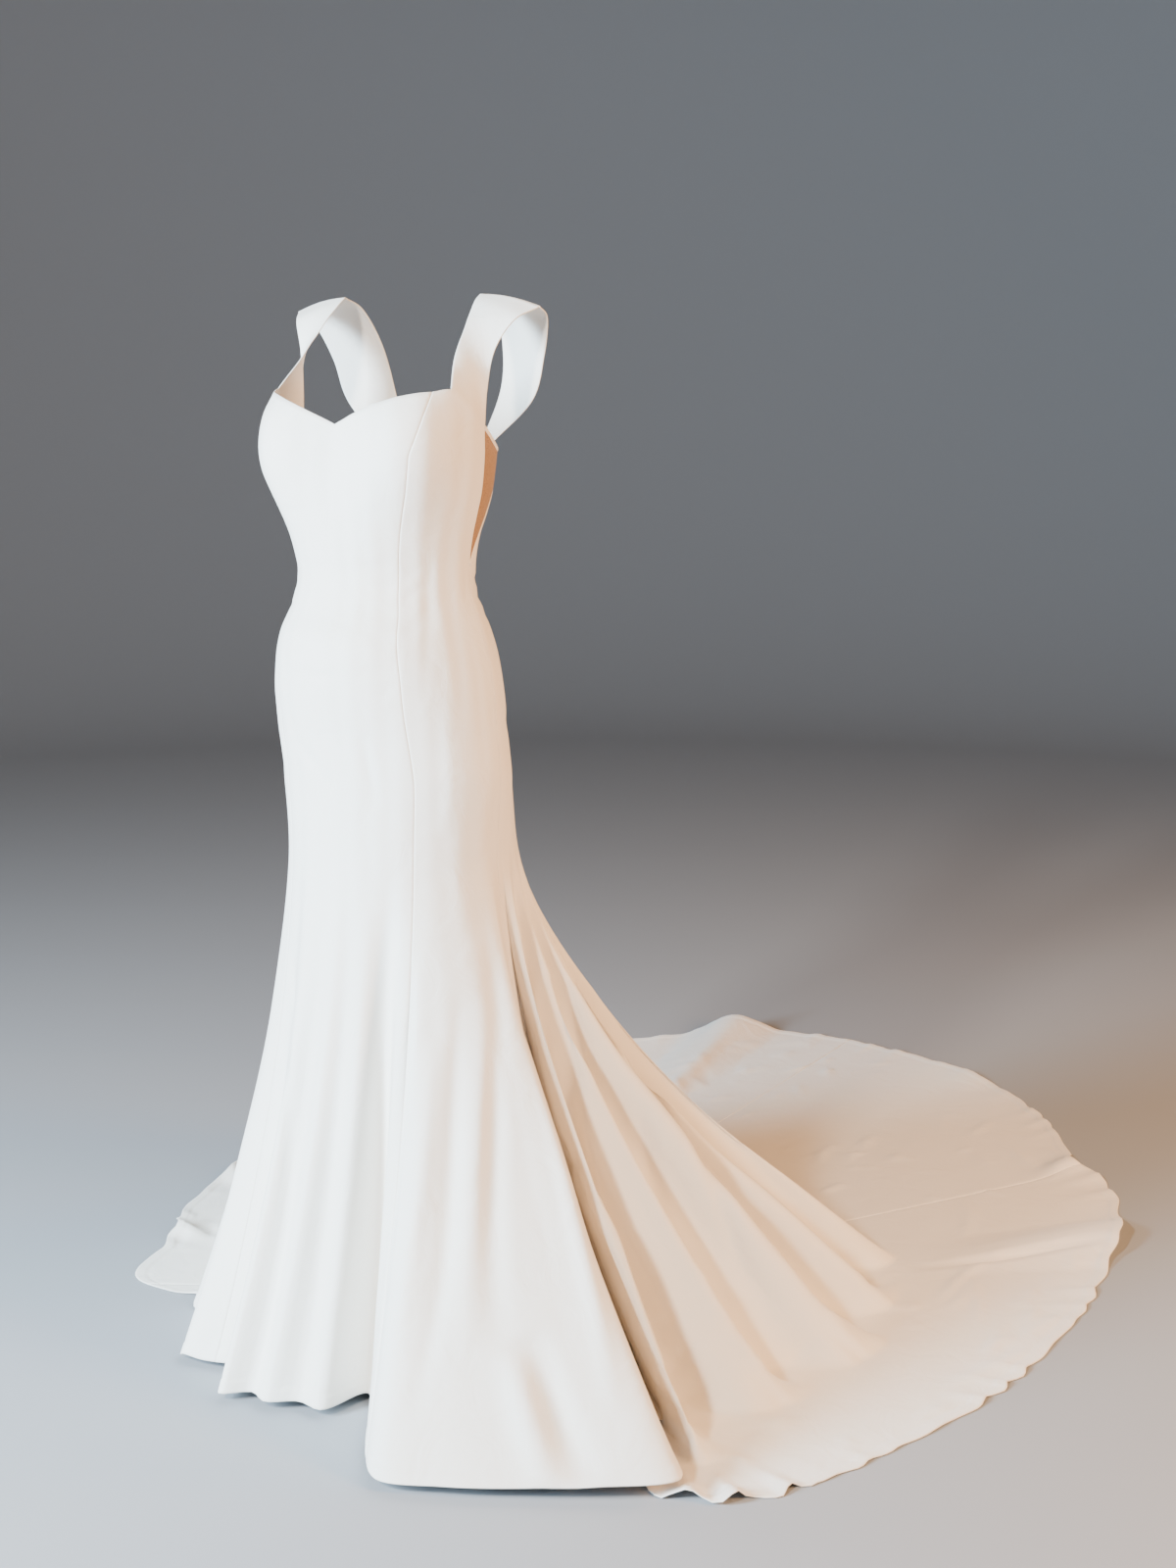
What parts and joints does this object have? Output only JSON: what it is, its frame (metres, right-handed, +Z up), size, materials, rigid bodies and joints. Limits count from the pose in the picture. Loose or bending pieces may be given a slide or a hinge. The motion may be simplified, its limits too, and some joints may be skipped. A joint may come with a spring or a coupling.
{
  "type": "wedding dress",
  "caption": "Fitted ivory crepe wedding gown with a sweetheart neckline, wide straps, sheer side panels, a buttoned back and a long train.",
  "frame": {"origin": "midway between the tops of the two shoulder straps, where the wearer's shoulders hold the dress up", "axes": "+X to the wearer's left, -Y to the wearer's front with the train running out to +Y, +Z up"},
  "size_m": [1.5225, 2.0118, 1.4644],
  "materials": {
    "ivory_crepe": "matte crepe with a soft sheen",
    "nude_mesh": "fine sheer mesh",
    "ivory_satin": "smooth satin"
  },
  "bodies": {
    "root": {"front_centre": "ivory_crepe", "side_front_L": "ivory_crepe", "side_front_R": "ivory_crepe", "side_back_L": "ivory_crepe", "side_back_R": "ivory_crepe", "back_L": "ivory_crepe", "back_R": "ivory_crepe", "back_strap_L": "ivory_crepe", "back_strap_R": "ivory_crepe", "sheer_side_L": "nude_mesh", "sheer_side_R": "nude_mesh", "back_buttons": "ivory_satin"}
  },
  "joints": []
}
